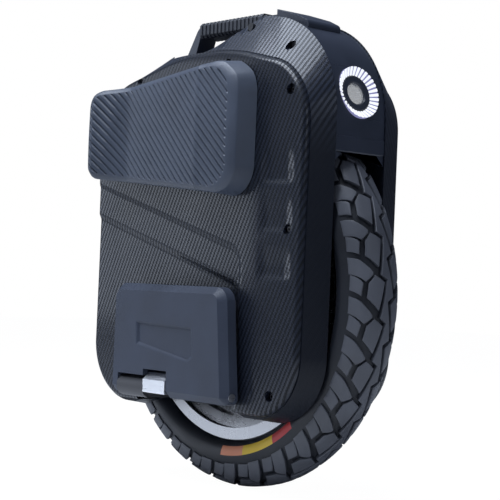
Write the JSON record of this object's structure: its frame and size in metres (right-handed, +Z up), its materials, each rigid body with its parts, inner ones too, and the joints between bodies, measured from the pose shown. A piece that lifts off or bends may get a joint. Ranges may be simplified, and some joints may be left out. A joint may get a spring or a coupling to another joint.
{
  "type": "electric unicycle",
  "caption": "Self-balancing electric unicycle: block-tread wheel between carbon-look covers, soft leg pads, folding pedals, ring headlight and ribbed carrying grip.",
  "frame": {"origin": "on the ground under the middle of the axle", "axes": "+X forward, towards the headlight; +Y left, along the axle; +Z up"},
  "size_m": [0.5, 0.2726, 0.614],
  "materials": {
    "tyre_rubber": "black rubber with moulded blocks",
    "rim_metal": "machined lip",
    "carbon_shell": "carbon-twill pattern under a satin coat",
    "dark_plastic": "fine-grained black plastic",
    "pad_foam": "soft moulded skin",
    "pedal_grey": "grey powder coat",
    "grip_rubber": "ribbed soft rubber",
    "bare_alloy": "brushed",
    "hanger_metal": "dark coated casting",
    "steel": "ground",
    "black_screw": "blackened steel",
    "copper": null,
    "light_ring": "lit diffuser",
    "clear_lens": "clear",
    "red_lens": "red diffuser",
    "button_plastic": "satin",
    "pack_wrap": "shrink wrap",
    "board": "coated board"
  },
  "bodies": {
    "chassis": {"axle": "steel", "axle_nuts": "steel", "axle_washers": "steel", "battery_pack_front_left": "pack_wrap", "battery_pack_front_right": "pack_wrap", "battery_pack_rear_left": "pack_wrap", "battery_pack_rear_right": "pack_wrap", "bearing_inner_rings": "steel", "charge_port": "dark_plastic", "control_board": "board", "deck": "dark_plastic", "front_cowl": "dark_plastic", "handle_beam": "dark_plastic", "handle_grip": "grip_rubber", "hanger_left": "hanger_metal", "hanger_right": "hanger_metal", "headlight_bezel": "dark_plastic", "headlight_housing": "dark_plastic", "headlight_lens": "clear_lens", "headlight_reflector": "bare_alloy", "headlight_ring": "light_ring", "heat_sink": "bare_alloy", "inner_shell_left": "carbon_shell", "inner_shell_right": "carbon_shell", "leg_pad_left": "pad_foam", "leg_pad_right": "pad_foam", "pedal_pin_left": "steel", "pedal_pin_right": "steel", "pedal_stop_left": "bare_alloy", "pedal_stop_right": "bare_alloy", "rear_cowl": "dark_plastic", "shell_bolts_left": "black_screw", "shell_bolts_right": "black_screw", "side_cover_left": "carbon_shell", "side_cover_right": "carbon_shell", "stator": "steel", "stator_windings": "copper", "tail_light": "red_lens", "top_cap": "dark_plastic", "wheel_arch_liner": "dark_plastic"},
    "wheel": {"tyre": "tyre_rubber", "rim": "rim_metal", "valve_stem": "rim_metal", "valve_cap": "dark_plastic", "rotor_magnets": "steel", "motor_cover_right": "hanger_metal", "motor_cover_left": "hanger_metal", "bearing_outer_rings": "steel"},
    "pedal_right": {"pedal_right": "pedal_grey", "pedal_mat_right": "grip_rubber"},
    "pedal_left": {"pedal_left": "pedal_grey", "pedal_mat_left": "grip_rubber"},
    "power_button": {"power_button": "button_plastic"},
    "lift_button": {"lift_button": "button_plastic"}
  },
  "joints": [
    {"name": "wheel_spin", "type": "hinge", "parent": "chassis", "child": "wheel", "pos_m": [0, 0, 0.25], "axis": [0, 1, 0], "continuous": true},
    {"name": "pedal_right_fold", "type": "hinge", "parent": "chassis", "child": "pedal_right", "pos_m": [-0.028, -0.1005, 0.123], "axis": [1, 0, 0], "range_deg": [0, 90]},
    {"name": "pedal_left_fold", "type": "hinge", "parent": "chassis", "child": "pedal_left", "pos_m": [-0.028, 0.1005, 0.123], "axis": [-1, 0, 0], "range_deg": [0, 90]},
    {"name": "power_button_press", "type": "slide", "parent": "chassis", "child": "power_button", "axis": [0, 0, -1], "range_m": [0, 0.0015], "stiffness_N_per_m": 800},
    {"name": "lift_button_press", "type": "slide", "parent": "chassis", "child": "lift_button", "axis": [0, 0, 1], "range_m": [0, 0.0015], "stiffness_N_per_m": 800}
  ]
}
